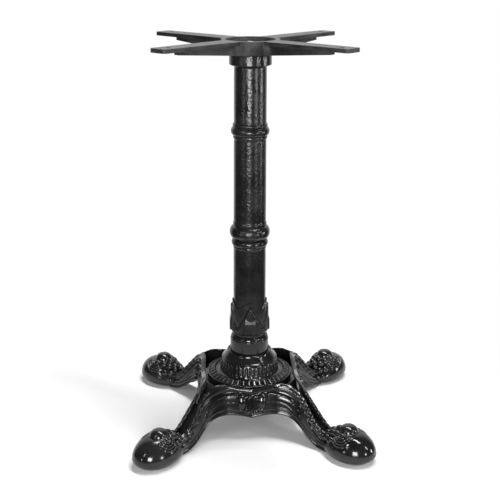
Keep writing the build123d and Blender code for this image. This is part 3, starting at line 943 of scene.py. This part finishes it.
@dataclass
class Studio:
    """Floor, lamps, world and camera."""

    distance: float = 1.740224
    camera_height: float = 0.88688
    pitch: float = 0.306
    roll: float = 0.004
    turn: float = 3.3
    focal_pixels: float = 988.537
    image_pixels: float = 500.0
    image_shift: float = 0.0006
    room: float = 0.04
    fill: float = 0.12
    lamp_distance: float = 2.4
    floor_fade: tuple[float, float] = (0.3, 0.62)

    def build_camera(self) -> None:
        """Camera at the photograph's angle, for a square image."""
        data = bpy.data.cameras.new("camera")
        data.sensor_width = 36.0
        data.lens = self.focal_pixels / self.image_pixels * data.sensor_width
        data.shift_x = self.image_shift
        data.clip_start = 0.01
        data.clip_end = 100.0
        camera = bpy.data.objects.new("camera", data)
        swing = Matrix.Rotation(radians(-self.turn), 4, "Z")
        stand = Matrix.Translation(Vector((0.0, -self.distance, self.camera_height)))
        tilt = Matrix.Rotation(pi / 2 - self.pitch, 4, "X") @ Matrix.Rotation(self.roll, 4, "Z")
        camera.matrix_world = swing @ stand @ tilt
        bpy.context.scene.collection.objects.link(camera)
        bpy.context.scene.camera = camera

    def build_floor(self) -> None:
        """Pale floor that fades into the white of the world away from the object."""
        mesh = bpy.data.meshes.new("floor")
        mesh.from_pydata([(-3, -3, 0), (3, -3, 0), (3, 3, 0), (-3, 3, 0)], [], [(0, 1, 2, 3)])
        floor = bpy.data.objects.new("floor", mesh)
        bpy.context.scene.collection.objects.link(floor)
        material = bpy.data.materials.new("pale_floor")
        material.use_nodes = True
        nodes, links = material.node_tree.nodes, material.node_tree.links
        nodes.clear()
        out = nodes.new("ShaderNodeOutputMaterial")
        place = nodes.new("ShaderNodeTexCoord")
        far = nodes.new("ShaderNodeVectorMath")
        far.operation = "LENGTH"
        links.new(place.outputs["Object"], far.inputs[0])
        fade = nodes.new("ShaderNodeMapRange")
        fade.interpolation_type = "SMOOTHSTEP"
        fade.inputs["From Min"].default_value = self.floor_fade[0]
        fade.inputs["From Max"].default_value = self.floor_fade[1]
        links.new(far.outputs["Value"], fade.inputs["Value"])
        matt = nodes.new("ShaderNodeBsdfDiffuse")
        matt.inputs["Color"].default_value = (0.93, 0.93, 0.93, 1.0)
        clear = nodes.new("ShaderNodeBsdfTransparent")
        mix = nodes.new("ShaderNodeMixShader")
        links.new(fade.outputs["Result"], mix.inputs["Fac"])
        links.new(matt.outputs["BSDF"], mix.inputs[1])
        links.new(clear.outputs["BSDF"], mix.inputs[2])
        links.new(mix.outputs["Shader"], out.inputs["Surface"])
        mesh.materials.append(material)

    def build_world(self) -> None:
        """White to the camera and through glass, and to reflections a white backdrop in a dim room.

        For reflections the strength rises with the +Y share of the direction, where the backdrop hangs.
        """
        world = bpy.data.worlds.new("studio")
        world.use_nodes = True
        nodes, links = world.node_tree.nodes, world.node_tree.links
        nodes.clear()
        out = nodes.new("ShaderNodeOutputWorld")
        path = nodes.new("ShaderNodeLightPath")
        place = nodes.new("ShaderNodeTexCoord")
        parts = nodes.new("ShaderNodeSeparateXYZ")
        links.new(place.outputs["Generated"], parts.inputs["Vector"])
        backdrop = nodes.new("ShaderNodeMapRange")
        backdrop.interpolation_type = "SMOOTHSTEP"
        for label, value in (("From Min", 0.45), ("From Max", 0.8), ("To Min", self.room), ("To Max", 1.0)):
            backdrop.inputs[label].default_value = value
        links.new(parts.outputs["Y"], backdrop.inputs["Value"])

        def background(strength: float) -> bpy.types.Node:
            """One neutral background of the given strength."""
            node = nodes.new("ShaderNodeBackground")
            node.inputs["Color"].default_value = (1.0, 1.0, 1.0, 1.0)
            node.inputs["Strength"].default_value = strength
            return node

        def choose(mask: bpy.types.NodeSocket, off: bpy.types.Node, on: bpy.types.Node) -> bpy.types.Node:
            """Mix of two shaders by a mask of the kind of ray."""
            node = nodes.new("ShaderNodeMixShader")
            links.new(mask, node.inputs["Fac"])
            links.new(off.outputs[0], node.inputs[1])
            links.new(on.outputs[0], node.inputs[2])
            return node

        mirrored = background(1.0)
        links.new(backdrop.outputs["Result"], mirrored.inputs["Strength"])
        light = choose(path.outputs["Is Glossy Ray"], background(self.fill), mirrored)
        through = choose(path.outputs["Is Transmission Ray"], light, background(1.0))
        seen = choose(path.outputs["Is Camera Ray"], through, background(1.0))
        links.new(seen.outputs[0], out.inputs["Surface"])
        bpy.context.scene.world = world

    def hang(
        self, name: str, place: Vector, back: Vector, size: tuple[float, float], radiance: float
    ) -> None:
        """One rectangular soft box.

        Args:
            name: Name of the lamp.
            place: Where it hangs, in metres.
            back: Direction from what it lights to the lamp.
            size: Width and height of its face in metres.
            radiance: Brightness of its face, where 1 is white.
        """
        data = bpy.data.lights.new(name, "AREA")
        data.shape = "RECTANGLE"
        data.size, data.size_y = size
        data.energy = radiance * pi * size[0] * size[1]
        lamp = bpy.data.objects.new(name, data)
        lamp.location = place
        lamp.rotation_euler = (-back).to_track_quat("-Z", "Y").to_euler()
        bpy.context.scene.collection.objects.link(lamp)

    def lamp(
        self, name: str, azimuth: float, low: float, high: float, width: float, radiance: float
    ) -> None:
        """One upright strip box that stands away from the column and faces it.

        Args:
            name: Name of the lamp.
            azimuth: Direction from the front, positive to the right, in degrees.
            low: Height of its lower edge in metres.
            high: Height of its upper edge in metres.
            width: Width in metres.
            radiance: Brightness of its face, where 1 is white.
        """
        a, away = radians(azimuth), self.lamp_distance
        place = Vector((away * sin(a), -away * cos(a), (low + high) / 2))
        back = Vector((sin(a), -cos(a), 0.3)).normalized()
        self.hang(name, place, back, (width, high - low), radiance)

    def overhead(
        self, name: str, place: tuple[float, ...], size: tuple[float, float], radiance: float
    ) -> None:
        """One soft box overhead, facing the foot of the column.

        Args:
            name: Name of the lamp.
            place: Where it hangs, in metres.
            size: Width and length in metres.
            radiance: Brightness of its face, where 1 is white.
        """
        self.hang(name, Vector(place), Vector(place), size, radiance)

    def build(self) -> None:
        """Set up the stage round the object."""
        self.build_camera()
        self.build_floor()
        self.build_world()
        self.lamp("front_box", -9.0, 0.22, 0.95, 0.7, 27.0)
        self.lamp("left_strip", -50.0, 0.2, 0.5, 0.16, 16.0)
        self.lamp("right_strip", 40.0, 0.2, 0.6, 0.26, 26.0)
        self.lamp("side_strip", 82.0, 0.15, 0.6, 0.26, 26.0)
        self.lamp("high_right", 62.0, 1.2, 2.0, 0.2, 24.0)
        self.lamp("high_left", -44.0, 1.2, 2.0, 0.16, 18.0)
        self.overhead("top_bar", (0.3, 0.25, 2.4), (2.2, 0.32), 29.0)
        bpy.context.scene.view_settings.view_transform = "Standard"


BASE_ENAMEL = Enamel(
    name="gloss_black_enamel",
    dark=(0.007, 0.007, 0.007),
    light=(0.014, 0.014, 0.014),
    glossy=0.09,
    dull=0.17,
    specular=0.45,
    peel_scale=420.0,
    peel=0.25,
    grain_scale=1600.0,
    grain=0.06,
    wave=0.4,
    bump=0.12,
)
COLUMN_ENAMEL = Enamel(
    name="orange_peel_black_enamel",
    dark=(0.009, 0.009, 0.009),
    light=(0.018, 0.018, 0.018),
    glossy=0.16,
    dull=0.28,
    specular=0.45,
    peel_scale=300.0,
    peel=0.8,
    grain_scale=1500.0,
    grain=0.1,
    wave=0.2,
    bump=0.55,
    calm=0.24,
)
SPIDER_ENAMEL = Enamel(
    name="satin_black_on_rough_casting",
    dark=(0.011, 0.011, 0.011),
    light=(0.05, 0.05, 0.049),
    glossy=0.3,
    dull=0.46,
    specular=0.45,
    peel_scale=300.0,
    peel=0.8,
    grain_scale=1400.0,
    grain=0.6,
    wave=0.5,
    bump=0.8,
)


def main() -> None:
    """Build every sub-assembly in order, dress it and set up the studio."""
    logging.basicConfig(level=logging.INFO, format="%(name)s %(message)s")
    skin = CastSkin()
    base_black = BASE_ENAMEL.build(skin)
    column_black = COLUMN_ENAMEL.build(skin)
    spider_black = SPIDER_ENAMEL.build(skin)
    zinc = ZincSteel().build(skin)
    for assembly, material in (
        (BaseCasting(), base_black),
        (NeckCollar(), base_black),
        (Column(), column_black),
        (Spider(), spider_black),
    ):
        assembly.build()
        assembly.dress(material)
        log.info("%s dressed", type(assembly).__name__)
    TieRod().dress(zinc)
    Studio().build()


if __name__ == "__main__":
    main()
